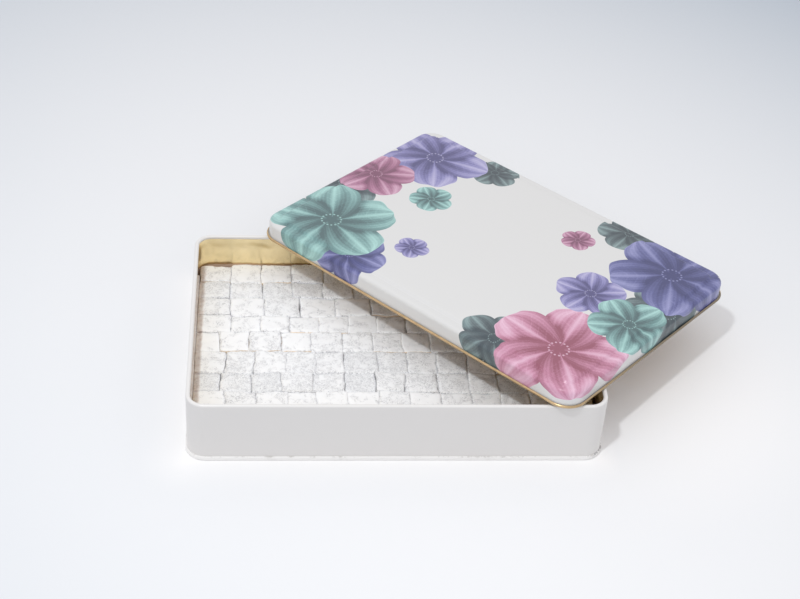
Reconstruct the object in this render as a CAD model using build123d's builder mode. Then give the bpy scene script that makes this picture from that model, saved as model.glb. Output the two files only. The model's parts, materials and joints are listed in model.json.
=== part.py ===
"""A gift tin of turkish delight: a seamed tin with one layer of dusted cubes, and its drawn slip lid.

Millimetres, +Z up. The origin is the centre of the tin's base, on the surface that it stands on. +X runs
along the tin's length and -Y is its front. The lid lies askew across the tin's rim and leans back, as it
does when the tin is opened to show the sweets.
"""

import os
import random

from build123d import *

# the tin
TIN_LENGTH = 280.0
TIN_WIDTH = 190.0
TIN_HEIGHT = 48.0
TIN_CORNER_RADIUS = 12.5
SHEET = 0.4
RIM_DIAMETER = 3.1
RIM_TURN = 300
CURL_STEP = 30

# the double seam that joins the wall to the bottom, and the pressed bottom panel
BEAD_HEIGHT = 3.4
BEAD_STANDS_OUT = 1.0
BEAD_STANDS_IN = 1.0
BEAD_TOP_EDGE = 0.4
BEAD_FOOT_RADIUS = 0.9
WALL_FOOT_Z = 1.0
PANEL_Z = 1.6
STIFFENER_INSET = 16.0
STIFFENER_WIDTH = 4.0
STIFFENER_DEPTH = 0.5
SIDE_SEAM_WIDTH = 5.0
SIDE_SEAM_HEIGHT = 40.0

# the lid, a loose slip fit over the tin's wall
LID_CLEARANCE = 1.6
HEM_DIAMETER = 2.2
HEM_TURN = 270
LEDGE_HEIGHT = 13.5
SHOULDER_RADIUS = 3.0
LEDGE_INSET = 7.0
STEP_RUN = 3.0
STEP_RISE = 2.0
PANEL_OVERLAP = 0.5

# where the lid lies: its hem crosses the rim at two rests, and it leans back about the line through them
LID_CENTRE_X = 77.35
LID_CENTRE_Y = 65.25
LID_TURN = -44.4
LID_LEAN = 2.0
BACK_REST = (-86.5, 93.5)
RIGHT_REST = (138.5, -76.3)
LID_REST_GAP = 0.3

# the sweets: joints between the rows, from the back wall to the front one, and each row's first joint
# from the left
ROW_JOINTS_Y = (94.3, 72.6, 54.2, 33.4, 14.8, -6.2, -29.4, -49.8, -71.8, -94.3)
FIRST_JOINTS_X = (-114.0, -113.8, -113.4, -112.5, -120.4, -116.3, -118.6, -115.4, -113.6)
CUBES_IN_ROW = (12, 12, 11, 13, 13, 13, 13, 13, 12)
ROW_END_X = 136.9
SWEET_TOP_Z = 21.0
SWEET_FOOT_GAP = 0.1
SWEET_GAP = 0.7
WALL_GAP = 0.3
SWEET_CHAMFER = 1.3
WIDTH_SPREAD = 1.2
HEIGHT_SPREAD = 0.5

HALF_LENGTH = TIN_LENGTH / 2
HALF_WIDTH = TIN_WIDTH / 2
LID_HALF_LENGTH = HALF_LENGTH + LID_CLEARANCE + SHEET
LID_HALF_WIDTH = HALF_WIDTH + LID_CLEARANCE + SHEET
LID_CORNER_RADIUS = TIN_CORNER_RADIUS + LID_CLEARANCE + SHEET
PANEL_TOP_Z = PANEL_Z + SHEET

REST_Z = TIN_HEIGHT + LID_REST_GAP
BACK_POINT = Vector(*BACK_REST, REST_Z)
RIGHT_POINT = Vector(*RIGHT_REST, REST_Z)
REST_LINE = Axis(BACK_POINT, RIGHT_POINT - BACK_POINT)


def leaned(direction):
    """A direction of the level lid, turned with it about the line through its rests."""
    return direction.rotate(REST_LINE, -LID_LEAN)


LID_PLANE = Plane(
    origin=BACK_POINT + leaned(Vector(LID_CENTRE_X, LID_CENTRE_Y, REST_Z) - BACK_POINT),
    x_dir=leaned(Vector(1, 0, 0).rotate(Axis.Z, LID_TURN)),
    z_dir=leaned(Vector(0, 0, 1)),
)


def on_lid(plane):
    """A plane given in the lid's own frame, where it stands in the tin's frame."""
    return Plane(LID_PLANE.location * plane.location)


def quarter_path(half_length, half_width, corner_radius, plane):
    """A quarter of a rounded rectangle, from the middle of its right side to the middle of its far side."""
    with BuildLine(plane) as path:
        FilletPolyline(
            (half_length, 0),
            (half_length, half_width),
            (0, half_width),
            radius=corner_radius,
        )
    return path.wires()[0]


def curl(centre, radius, start, turn):
    """Points along a curl's arc: a small curl in straight steps keeps a formed sheet's corners light."""
    steps = round(abs(turn) / CURL_STEP)
    angles = [start + turn * step / steps for step in range(steps + 1)]
    return [Vector(*centre) + Vector(radius, 0).rotate(Axis.Z, angle) for angle in angles]


def export(part, name):
    """Labels a finished piece and writes it under its own name."""
    part.label = name
    export_step(part, f"parts/{name}.step")
    print(f"{name}: {len(part.solids())} solids, {part.volume:.0f} mm3")


os.makedirs("parts", exist_ok=True)
tin_quarter = quarter_path(HALF_LENGTH, HALF_WIDTH, TIN_CORNER_RADIUS, Plane.XY)
lid_quarter = quarter_path(LID_HALF_LENGTH, LID_HALF_WIDTH, LID_CORNER_RADIUS, LID_PLANE)

# ---------------------------------------- tin body: a wrapped band with an inward curled rim
with BuildPart() as tin_body:
    with BuildSketch(Plane.XZ):
        with BuildLine():
            curl_centre = (HALF_LENGTH - RIM_DIAMETER / 2, TIN_HEIGHT - RIM_DIAMETER / 2)
            Polyline(
                (HALF_LENGTH - SHEET, WALL_FOOT_Z),
                (HALF_LENGTH, WALL_FOOT_Z),
                *curl(curl_centre, RIM_DIAMETER / 2, 0, RIM_TURN),
                *curl(curl_centre, RIM_DIAMETER / 2 - SHEET, RIM_TURN, -RIM_TURN),
                close=True,
            )
        make_face()
    sweep(path=tin_quarter)
    mirror(about=Plane.YZ)
    mirror(about=Plane.XZ)
    # the lock seam that closes the band, folded flat against the middle of the back
    with BuildSketch(Plane.XZ.offset(-HALF_WIDTH)):
        with Locations((0, BEAD_HEIGHT + SIDE_SEAM_HEIGHT / 2)):
            Rectangle(SIDE_SEAM_WIDTH, SIDE_SEAM_HEIGHT)
    extrude(amount=-SHEET)
    seam_edges = tin_body.faces().sort_by(Axis.Y)[-1].edges().filter_by(Axis.Z)
    chamfer(seam_edges, length=SHEET / 2)
export(tin_body.part, "tin_body")

# ---------------------------------------- tin bottom: a pressed panel, seamed round the wall
with BuildPart() as tin_bottom:
    with BuildSketch(Plane.XZ):
        bead_outer = HALF_LENGTH + BEAD_STANDS_OUT
        bead_inner = HALF_LENGTH - SHEET - BEAD_STANDS_IN
        with BuildLine():
            slot = Polyline(
                (HALF_LENGTH, BEAD_HEIGHT),
                (HALF_LENGTH, WALL_FOOT_Z),
                (HALF_LENGTH - SHEET, WALL_FOOT_Z),
                (HALF_LENGTH - SHEET, PANEL_TOP_Z),
                (bead_inner, PANEL_TOP_Z),
                (bead_inner, BEAD_FOOT_RADIUS),
                (bead_inner + BEAD_FOOT_RADIUS, 0),
                (bead_outer - BEAD_FOOT_RADIUS, 0),
            )
            foot = RadiusArc(slot @ 1, (bead_outer, BEAD_FOOT_RADIUS), BEAD_FOOT_RADIUS)
            Polyline(
                foot @ 1,
                (bead_outer, BEAD_HEIGHT - BEAD_TOP_EDGE),
                (bead_outer - BEAD_TOP_EDGE, BEAD_HEIGHT),
                slot @ 0,
            )
        make_face()
    sweep(path=tin_quarter)
    mirror(about=Plane.YZ)
    mirror(about=Plane.XZ)
    panel_edge = SHEET + BEAD_STANDS_IN / 2
    with BuildSketch(Plane.XY.offset(PANEL_Z)):
        RectangleRounded(
            TIN_LENGTH - 2 * panel_edge,
            TIN_WIDTH - 2 * panel_edge,
            TIN_CORNER_RADIUS - panel_edge,
        )
    extrude(amount=SHEET)
    # a stiffening bead pressed down round the panel: a ring below it, and the channel above that ring
    for mode, base_z, wall in (
        (Mode.ADD, PANEL_Z - STIFFENER_DEPTH, 0.0),
        (Mode.SUBTRACT, PANEL_Z - STIFFENER_DEPTH + SHEET, SHEET),
    ):
        with BuildSketch(Plane.XY.offset(base_z)):
            for ring_mode, inset in (
                (Mode.ADD, STIFFENER_INSET + wall),
                (Mode.SUBTRACT, STIFFENER_INSET + STIFFENER_WIDTH - wall),
            ):
                RectangleRounded(
                    TIN_LENGTH - 2 * inset,
                    TIN_WIDTH - 2 * inset,
                    TIN_CORNER_RADIUS,
                    mode=ring_mode,
                )
        extrude(amount=STIFFENER_DEPTH, mode=mode)
export(tin_bottom.part, "tin_bottom")

# ---------------------------------------- lid: drawn from one sheet, its edge curled out
with BuildPart() as lid:
    with BuildSketch(on_lid(Plane.XZ)):
        # the middle line of the sheet, from the hem's free edge to the panel
        with BuildLine():
            hem_radius = (HEM_DIAMETER - SHEET) / 2
            skirt_x = LID_HALF_LENGTH - SHEET / 2
            hem_centre = (skirt_x + hem_radius, HEM_DIAMETER / 2)
            ledge_z = LEDGE_HEIGHT - SHEET / 2
            bend = SHOULDER_RADIUS - SHEET / 2
            Polyline(
                *curl(hem_centre, hem_radius, 180 + HEM_TURN, -HEM_TURN),
                (skirt_x, ledge_z - bend),
            )
            shoulder = CenterArc((skirt_x - bend, ledge_z - bend), bend, 0, 90)
            step_x = LID_HALF_LENGTH - LEDGE_INSET
            Polyline(
                shoulder @ 1,
                (step_x, ledge_z),
                (step_x - STEP_RUN, ledge_z + STEP_RISE),
                (step_x - STEP_RUN - PANEL_OVERLAP, ledge_z + STEP_RISE),
            )
        trace(line_width=SHEET)
    sweep(path=lid_quarter)
    mirror(about=on_lid(Plane.YZ))
    mirror(about=on_lid(Plane.XZ))
    panel_inset = LEDGE_INSET + STEP_RUN
    with BuildSketch(on_lid(Plane.XY.offset(LEDGE_HEIGHT + STEP_RISE - SHEET))):
        RectangleRounded(
            2 * (LID_HALF_LENGTH - panel_inset),
            2 * (LID_HALF_WIDTH - panel_inset),
            LID_CORNER_RADIUS - panel_inset,
        )
    extrude(amount=SHEET)
export(lid.part, "lid")


# ---------------------------------------- the sweets: nine rows of cubes, laid like bricks
def cube_joints(row, dice):
    """The x of every joint in a row: its left end, the first joint, then cubes of nearly equal width."""
    first = FIRST_JOINTS_X[row]
    count = CUBES_IN_ROW[row] - 1
    pitch = (ROW_END_X - first) / count
    between = [
        first + pitch * k + dice.uniform(-WIDTH_SPREAD, WIDTH_SPREAD) for k in range(1, count)
    ]
    return [-ROW_END_X, first, *between, ROW_END_X]


def sweets(row, columns, joints, inset, dice):
    """The cubes of a row in the given columns, inside the tin's outline less the inset.

    Each cube is a separate solid with its edges taken off.
    """
    back_y, front_y = ROW_JOINTS_Y[row], ROW_JOINTS_Y[row + 1]
    foot_z = PANEL_TOP_Z + SWEET_FOOT_GAP
    with BuildPart() as cubes:
        for column in columns:
            left_x, right_x = joints[column], joints[column + 1]
            top_z = SWEET_TOP_Z + dice.uniform(-HEIGHT_SPREAD, HEIGHT_SPREAD)
            with BuildSketch(Plane.XY.offset(foot_z)):
                with Locations(((left_x + right_x) / 2, (back_y + front_y) / 2)):
                    Rectangle(right_x - left_x - SWEET_GAP, back_y - front_y - SWEET_GAP)
            extrude(amount=top_z - foot_z)
        with BuildSketch(Plane.XY.offset(foot_z)):
            RectangleRounded(
                TIN_LENGTH - 2 * inset, TIN_WIDTH - 2 * inset, TIN_CORNER_RADIUS - inset
            )
        extrude(amount=TIN_HEIGHT, mode=Mode.INTERSECT)
        raised_edges = [edge for edge in cubes.edges() if edge.center().Z > foot_z + SWEET_CHAMFER]
        chamfer(raised_edges, length=SWEET_CHAMFER)
    return cubes.part


dice = random.Random(7)
for row in range(len(CUBES_IN_ROW)):
    joints = cube_joints(row, dice)
    number = len(CUBES_IN_ROW) - row
    # the end cube can be picked straight up past the curled rim, and the others reach the wall
    end_cube = sweets(row, range(1), joints, RIM_DIAMETER + WALL_GAP, dice)
    others = sweets(row, range(1, CUBES_IN_ROW[row]), joints, SHEET + WALL_GAP, dice)
    export(end_cube, f"delight_row_{number}_end_cube")
    export(others, f"delight_row_{number}")
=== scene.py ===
"""The looks of a gift tin of turkish delight: lacquered tinplate, a printed slip lid and sugar-dusted cubes.

Metres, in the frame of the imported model: the origin is the centre of the tin's base, +Z up, -Y the front.
"""

import itertools
import json
import math

import bpy
import bmesh
import numpy as np
from mathutils import Matrix, Vector


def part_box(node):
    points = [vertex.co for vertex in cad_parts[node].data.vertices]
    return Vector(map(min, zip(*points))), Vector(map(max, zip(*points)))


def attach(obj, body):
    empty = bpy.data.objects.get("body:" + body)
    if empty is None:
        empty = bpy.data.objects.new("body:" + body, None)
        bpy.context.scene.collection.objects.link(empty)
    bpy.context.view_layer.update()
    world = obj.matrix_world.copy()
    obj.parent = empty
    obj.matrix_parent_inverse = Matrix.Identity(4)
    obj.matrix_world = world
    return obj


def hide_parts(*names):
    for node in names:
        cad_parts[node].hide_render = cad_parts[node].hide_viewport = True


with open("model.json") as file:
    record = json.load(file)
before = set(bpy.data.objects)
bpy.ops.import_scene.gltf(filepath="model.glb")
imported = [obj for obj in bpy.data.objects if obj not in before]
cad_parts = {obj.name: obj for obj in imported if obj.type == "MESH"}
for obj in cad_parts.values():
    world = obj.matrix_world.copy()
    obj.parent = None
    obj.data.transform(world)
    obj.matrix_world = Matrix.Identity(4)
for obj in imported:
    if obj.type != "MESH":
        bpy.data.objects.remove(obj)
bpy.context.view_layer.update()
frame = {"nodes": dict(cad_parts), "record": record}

MM = 0.001
CLOSE = 1e-7

# ---------------------------------------- sizes of the tinplate
TIN_LOW, TIN_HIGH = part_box("tin_body")
TIN_HALF_LENGTH = TIN_HIGH.x
TIN_HALF_WIDTH = -TIN_LOW.y
TIN_HEIGHT = TIN_HIGH.z
TIN_CORNER_RADIUS = 12.5 * MM
TIN_OUTLINE = (TIN_HALF_LENGTH, TIN_HALF_WIDTH, TIN_CORNER_RADIUS)
SHEET = 0.4 * MM
SWEETS_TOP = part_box("delight_row_9")[1].z
# a wavy darker line painted on the gold wall as a painted reflection: its height, its wave and its edges
REFLECTION_LINE_HEIGHT = SWEETS_TOP + 17 * MM
REFLECTION_LINE_WAVE = 2.5 * MM
REFLECTION_LINE_EDGES = (0.2 * MM, 3.2 * MM)
# the lower and upper edges of the brown band low on the gold wall: partly stain, partly painted shade
STAIN_AND_SHADE_LINE = (SWEETS_TOP + 0.9 * MM, SWEETS_TOP + 2.1 * MM)
DUST_LINE = (SWEETS_TOP - 0.5 * MM, SWEETS_TOP + 0.9 * MM)
RIM_RADIUS = 1.55 * MM
RIM_TURN = math.radians(300)
CURL_STEPS = 30
# the band at the top of the curl that is painted whiter, as a painted highlight
CURL_HIGHLIGHT_BAND = (TIN_HEIGHT - 1.3 * MM, TIN_HEIGHT - 0.5 * MM)
WALL_FOOT = TIN_LOW.z

BEAD_HEIGHT = 3.4 * MM
BEAD_STANDS_OUT = 1.0 * MM
BEAD_EDGE = 0.45 * MM
BEAD_FOOT_RADIUS = 0.9 * MM
KNOCKED_PLACE = (TIN_HALF_LENGTH - 1.5 * MM, -TIN_HALF_WIDTH + 5.5 * MM, BEAD_HEIGHT)
KNOCK_REACH = (4 * MM, 13 * MM)
KNOCK_END = (11 * MM, 14 * MM)
PANEL_BASE = 1.6 * MM
STIFFENER_INSET = 16 * MM
STIFFENER_WIDTH = 4 * MM
STIFFENER_DEPTH = 0.5 * MM

LID_HALF_LENGTH = TIN_HALF_LENGTH + 2.0 * MM
LID_HALF_WIDTH = TIN_HALF_WIDTH + 2.0 * MM
LID_CORNER_RADIUS = TIN_CORNER_RADIUS + 2.0 * MM
LID_OUTLINE = (LID_HALF_LENGTH, LID_HALF_WIDTH, LID_CORNER_RADIUS)
HEM_RADIUS = 1.08 * MM
HEM_TURN = math.radians(270)
HEM_STEPS = 30
LEDGE_HEIGHT = 13.5 * MM
SHOULDER_RADIUS = 3.0 * MM
LEDGE_INSET = 7.0 * MM
STEP_RUN = 3.0 * MM
STEP_RISE = 1.75 * MM
PANEL_CROWN = 0.2 * MM

# where the lid lies: its hem crosses the tin's rim at two rests, and it leans back about the line that
# joins them
REST_Z = TIN_HEIGHT + 0.3 * MM
LID_CENTRE = Vector((77.35 * MM, 65.25 * MM, REST_Z))
LID_TURN = math.radians(-44.4)
LID_LEAN = math.radians(2.0)
BACK_REST = Vector((-86.5 * MM, 93.5 * MM, REST_Z))
RIGHT_REST = Vector((138.5 * MM, -76.3 * MM, REST_Z))


# ---------------------------------------- surfaces as arrays
def rounded_path(half_length, half_width, radius, corner_steps, side_steps):
    """Points and outward normals round a rounded rectangle.

    Each corner is a quarter circle about its own centre, and each side is a straight run of even steps.
    """
    points, normals = [], []
    signs = ((1, 1), (-1, 1), (-1, -1), (1, -1))
    for quarter, (sign_x, sign_y) in enumerate(signs):
        angle = math.pi / 2 * (quarter + np.linspace(0, 1, corner_steps + 1))
        outward = np.stack([np.cos(angle), np.sin(angle)], axis=1)
        centre = np.array([sign_x * (half_length - radius), sign_y * (half_width - radius)])
        bend = centre + radius * outward
        next_sign = np.array(signs[(quarter + 1) % 4])
        next_centre = next_sign * np.array([half_length - radius, half_width - radius])
        share = np.linspace(0, 1, side_steps + 1)[1:-1, None]
        side = bend[-1] + share * (next_centre - centre)
        points += [bend, side]
        normals += [outward, np.repeat(outward[-1:], len(side), axis=0)]
    return np.concatenate(points), np.concatenate(normals)


def carried(section, path, normals):
    """A section of (outward, up) pairs carried round a closed path: a grid of points, section by path."""
    flat = path[None] + section[:, None, :1] * normals[None]
    up = np.broadcast_to(section[:, None, 1:], flat.shape[:2] + (1,))
    return np.concatenate([flat, up], axis=2)


def to_spine(ring, half_length, half_width, steps):
    """Rings that close a flat middle: each point runs straight to the nearest place on the middle line."""
    reach = half_length - half_width
    spine = ring.copy()
    spine[:, 0] = np.clip(ring[:, 0], -reach, reach)
    spine[:, 1] = 0
    share = np.linspace(0, 1, steps + 1)[1:, None, None]
    return ring + share * (spine - ring)


def arc(centre, radius, start, turn, steps):
    """Points along an arc: centre plus radius times the cosine and sine of the angle."""
    angle = start + turn * np.linspace(0, 1, steps + 1)
    return np.stack([centre[0] + radius * np.cos(angle), centre[1] + radius * np.sin(angle)], axis=1)


def beside(line, distance):
    """A line of points moved sideways, to its left, by a distance."""
    direction = np.gradient(line, axis=0)
    direction /= np.linalg.norm(direction, axis=1, keepdims=True)
    return line + distance * np.stack([-direction[:, 1], direction[:, 0]], axis=1)


def grid_quads(rows, columns, closed):
    """Corner numbers of the quads between the rows and columns of a grid, closed along its rows or open."""
    start = np.arange(rows * columns).reshape(rows, columns)
    across = np.roll(start, -1, axis=1) if closed else start[:, 1:]
    along = start if closed else start[:, :-1]
    corners = [along[:-1], across[:-1], across[1:], along[1:]]
    return np.stack(corners, axis=-1).reshape(-1, 4)


def piece(name, grids, materials, body, replaced=(), smooth_angle=50, attributes=None):
    """Makes one closed piece of several grids, each of points, closed or not, and a material number.

    The number stands for the whole grid, or there is one for each of its quads.
    """
    vertices, quads, numbers, count = [], [], [], 0
    for points, closed, number in grids:
        faces = grid_quads(points.shape[0], points.shape[1], closed)
        vertices.append(points.reshape(-1, 3))
        quads.append(faces + count)
        numbers.append(np.broadcast_to(np.ravel(number), len(faces)))
        count += points.shape[0] * points.shape[1]
    vertices, quads, numbers = (np.concatenate(part) for part in (vertices, quads, numbers))
    mesh = bpy.data.meshes.new(name)
    mesh.from_pydata(vertices, [], quads)
    mesh.polygons.foreach_set("material_index", numbers.astype(np.int32))
    for label, (kind, values) in (attributes or {}).items():
        attribute = mesh.attributes.new(label, kind, "POINT")
        key = {"FLOAT": "value", "FLOAT_VECTOR": "vector", "FLOAT_COLOR": "color"}[kind]
        attribute.data.foreach_set(key, np.ascontiguousarray(values, dtype=np.float32).ravel())
    for material in materials:
        mesh.materials.append(material)
    edit = bmesh.new()
    edit.from_mesh(mesh)
    bmesh.ops.remove_doubles(edit, verts=edit.verts, dist=CLOSE)
    bmesh.ops.dissolve_degenerate(edit, edges=edit.edges, dist=CLOSE)
    if edit.calc_volume(signed=True) < 0:
        bmesh.ops.reverse_faces(edit, faces=edit.faces)
    edit.to_mesh(mesh)
    edit.free()
    mesh.shade_smooth()
    mesh.set_sharp_from_angle(angle=math.radians(smooth_angle))
    made = bpy.data.objects.new(name, mesh)
    bpy.context.scene.collection.objects.link(made)
    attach(made, body)
    if replaced:
        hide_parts(*replaced)
    return made


# ---------------------------------------- helpers for node trees
def join(tree, value, socket):
    """Puts a link or a plain value into a socket."""
    if isinstance(value, bpy.types.NodeSocket):
        tree.links.new(value, socket)
    else:
        socket.default_value = value


def calc(tree, operation, *values):
    """One math node's result."""
    node = tree.nodes.new("ShaderNodeMath")
    node.operation = operation
    for value, socket in zip(values, node.inputs):
        join(tree, value, socket)
    return node.outputs[0]


def vector_calc(tree, operation, *values):
    """One vector math node's result."""
    node = tree.nodes.new("ShaderNodeVectorMath")
    node.operation = operation
    for value, socket in zip(values, node.inputs):
        join(tree, value, socket)
    return node.outputs["Value" if operation in ("LENGTH", "DISTANCE", "DOT_PRODUCT") else "Vector"]


def times(tree, first, second):
    """The product of two values."""
    return calc(tree, "MULTIPLY", first, second)


def plus(tree, first, second):
    """The sum of two values."""
    return calc(tree, "ADD", first, second)


def minus(tree, first, second):
    """The first value less the second."""
    return calc(tree, "SUBTRACT", first, second)


def unsigned(tree, value):
    """A value without its sign."""
    return calc(tree, "ABSOLUTE", value)


def larger(tree, first, second):
    """The larger of two values."""
    return calc(tree, "MAXIMUM", first, second)


def split(tree, vector):
    """A vector's three parts."""
    node = tree.nodes.new("ShaderNodeSeparateXYZ")
    join(tree, vector, node.inputs[0])
    return node.outputs


def mesh_value(tree, label):
    """The outputs of an attribute of the mesh."""
    node = tree.nodes.new("ShaderNodeAttribute")
    node.attribute_name = label
    return node.outputs


def mixed(tree, share, first, second):
    """Two colours mixed by a share."""
    node = tree.nodes.new("ShaderNodeMix")
    node.data_type = "RGBA"
    for value, socket in zip((share, first, second), (node.inputs[0], node.inputs[6], node.inputs[7])):
        join(tree, value, socket)
    return node.outputs[2]


def span(tree, value, low, high, first=0.0, second=1.0, smooth=False):
    """A value carried from the range low to high to another range, and held inside it."""
    node = tree.nodes.new("ShaderNodeMapRange")
    node.interpolation_type = "SMOOTHSTEP" if smooth else "LINEAR"
    for number, socket in zip((value, low, high, first, second), node.inputs):
        join(tree, number, socket)
    return node.outputs[0]


def noise(tree, place, scale, detail=2.0, roughness=0.5, distortion=0.0):
    """A noise texture's value."""
    node = tree.nodes.new("ShaderNodeTexNoise")
    node.inputs["Scale"].default_value = scale
    node.inputs["Detail"].default_value = detail
    node.inputs["Roughness"].default_value = roughness
    node.inputs["Distortion"].default_value = distortion
    join(tree, place, node.inputs["Vector"])
    return node.outputs[0]


def group(name, inputs, outputs):
    """A new shader node group with named sockets: the tree, its inputs by name and its output node."""
    tree = bpy.data.node_groups.new(name, "ShaderNodeTree")
    kinds = {"value": "NodeSocketFloat", "vector": "NodeSocketVector", "colour": "NodeSocketColor"}
    for label, kind in inputs:
        tree.interface.new_socket(name=label, in_out="INPUT", socket_type=kinds[kind])
    for label, kind in outputs:
        tree.interface.new_socket(name=label, in_out="OUTPUT", socket_type=kinds[kind])
    given = tree.nodes.new("NodeGroupInput")
    result = tree.nodes.new("NodeGroupOutput")
    return tree, given.outputs, result.inputs


def place_group(tree, made, **values):
    """A group placed in a tree with its own values, underscores standing for spaces: its outputs."""
    node = tree.nodes.new("ShaderNodeGroup")
    node.node_tree = made
    for label, value in values.items():
        join(tree, value, node.inputs[label.replace("_", " ")])
    return node.outputs


def new_material(name, **values):
    """A material, its tree and its Principled shader, with uniform values set on the shader itself."""
    material = bpy.data.materials.new(name)
    material.use_nodes = True
    shader = material.node_tree.nodes["Principled BSDF"]
    for label, value in values.items():
        shader.inputs[label.replace("_", " ")].default_value = value
    return material, material.node_tree, shader


def object_place(tree):
    """The point's own place, in metres in the part's frame."""
    return tree.nodes.new("ShaderNodeTexCoord").outputs["Object"]


def relief(tree, shader, height, strength, distance):
    """A bump from a height, into the shader's normal."""
    node = tree.nodes.new("ShaderNodeBump")
    node.inputs["Strength"].default_value = strength
    node.inputs["Distance"].default_value = distance
    join(tree, height, node.inputs["Height"])
    tree.links.new(node.outputs[0], shader.inputs["Normal"])


# ---------------------------------------- node groups
# rubs run round the tin, and rolling lines up it: their noise has these scales along x, y and z
RUB_SCALE = (260.0, 260.0, 2600.0)
ROLLING_SCALE = (900.0, 900.0, 40.0)


def lacquer_group():
    """Lacquer on rolled tinplate: a faint orange peel, a long wave, and fine rubs that dull the gloss."""
    tree, given, result = group(
        "lacquer_surface",
        [("Place", "vector"), ("Gloss", "value"), ("Rub", "value")],
        [("Height", "value"), ("Roughness", "value"), ("Rubs", "value")],
    )
    peel = noise(tree, given["Place"], 900, detail=2)
    wave = noise(tree, given["Place"], 28, detail=1)
    stretched = vector_calc(tree, "MULTIPLY", given["Place"], RUB_SCALE)
    rubs = span(tree, noise(tree, stretched, 1.0, detail=3, roughness=0.65), 0.6, 0.75)
    patches = span(tree, noise(tree, given["Place"], 45, detail=2), 0.45, 0.7)
    rubs = times(tree, times(tree, rubs, patches), given["Rub"])
    height = plus(tree, times(tree, peel, 0.15), wave)
    join(tree, height, result["Height"])
    rough = plus(tree, given["Gloss"], times(tree, rubs, 0.25))
    join(tree, rough, result["Roughness"])
    join(tree, rubs, result["Rubs"])
    return tree


# a blossom's drawing, in shares of a petal's length and half width
PETALS = 5
PETAL_WANDER = (0.94, 1.06)
PETAL_FOOT = 0.62
PETAL_WIDENS = 0.55
PETAL_EDGE = 0.006
TIP_TONE = 0.72
DEEP_TONES = (0.0, 0.45)
PALE_TONES = (0.4, 1.0)
FOLDS = 9.0
FOLD_TWIST = 3.0
FOLD_SHADE = 0.17
SIDE_SHADE = 0.2
STRANDS = 46.0
STRAND_WANDER = 9.0
STRAND_SHADE = 0.07
MIDRIB = (0.015, 0.07)
MIDRIB_LIGHT = 0.5
VEINS = 6.5
VEIN_SLANT = 1.9
VEIN_WIDTH = 0.1
VEIN_LIGHT = 0.35
VEIN_FADE = (0.0, 0.9)
PETAL_RIM = 0.022
RIM_LIGHT = 0.4
LIGHT_RISE = 0.55
OVERLAP_REACH = 0.16
OVERLAP_SHADE = 0.42
EYE = (0.07, 0.1)
DOTS_A_PETAL = 3.0
DOTS_RADIUS = 0.15
DOT_AREA = (0.0001, 0.0004)
DOT_SHARE = 0.7


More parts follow.
